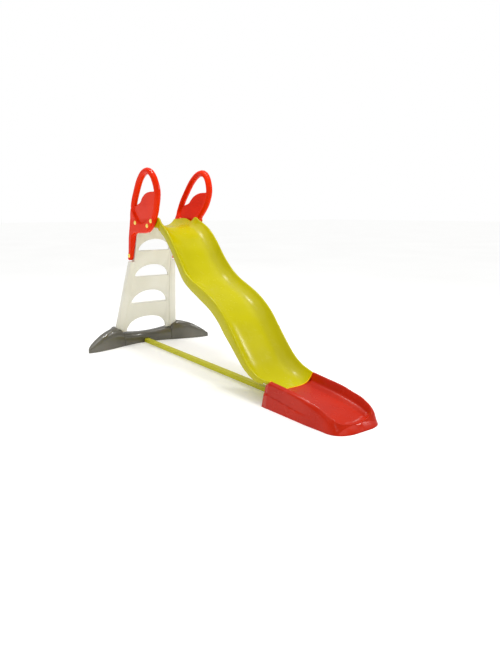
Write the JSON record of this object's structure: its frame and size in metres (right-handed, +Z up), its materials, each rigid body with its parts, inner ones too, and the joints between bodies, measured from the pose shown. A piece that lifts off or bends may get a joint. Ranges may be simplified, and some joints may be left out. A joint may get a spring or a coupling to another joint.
{
  "type": "wave slide",
  "caption": "Garden wave slide: leaning one-piece ladder on a swept two-foot base, two-wave chute, low run-out tray, ring side handles and a ground stabiliser bar.",
  "frame": {"origin": "on the ground, under the middle of the overall length and width", "axes": "+X runs down the slide from the ladder to the tray's nose, +Y across it, to the left of a child sliding down, +Z up"},
  "size_m": [2.54, 1.082, 1.3812],
  "materials": {
    "ladder_cream": "satin moulded plastic, warm off-white",
    "base_grey": "satin moulded plastic, warm grey",
    "chute_lime": "glossy moulded plastic, yellow-green",
    "red": "glossy moulded plastic, orange-red",
    "bar_lime": "satin extruded plastic, yellow-green",
    "cap_yellow": "glossy moulded plastic, pale yellow",
    "steel": "zinc plated",
    "black": "satin moulded plastic, black"
  },
  "bodies": {
    "root": {"ladder": "ladder_cream", "crossbar": "base_grey", "chute": "chute_lime", "runout_tray": "red", "stabiliser_bar": "bar_lime", "bar_plug_rear": "black", "bar_plug_front": "black", "bar_bolt_rear": "steel", "bar_bolt_front": "steel", "bar_nut_front": "steel", "foot_left": "base_grey", "handle_left": "red", "handle_bolt_left_rear": "steel", "bolt_cap_left_rear": "cap_yellow", "handle_nut_left_rear": "steel", "handle_bolt_left_middle": "steel", "bolt_cap_left_middle": "cap_yellow", "handle_nut_left_middle": "steel", "handle_bolt_left_front": "steel", "bolt_cap_left_front": "cap_yellow", "handle_nut_left_front": "steel", "handle_bolt_left_stem": "steel", "bolt_cap_left_stem": "cap_yellow", "handle_nut_left_stem": "steel", "leg_screw_left": "steel", "crossbar_screw_left": "steel", "chute_screw_left": "steel", "foot_right": "base_grey", "handle_right": "red", "handle_bolt_right_rear": "steel", "bolt_cap_right_rear": "cap_yellow", "handle_nut_right_rear": "steel", "handle_bolt_right_middle": "steel", "bolt_cap_right_middle": "cap_yellow", "handle_nut_right_middle": "steel", "handle_bolt_right_front": "steel", "bolt_cap_right_front": "cap_yellow", "handle_nut_right_front": "steel", "handle_bolt_right_stem": "steel", "bolt_cap_right_stem": "cap_yellow", "handle_nut_right_stem": "steel", "leg_screw_right": "steel", "crossbar_screw_right": "steel", "chute_screw_right": "steel"}
  },
  "joints": []
}
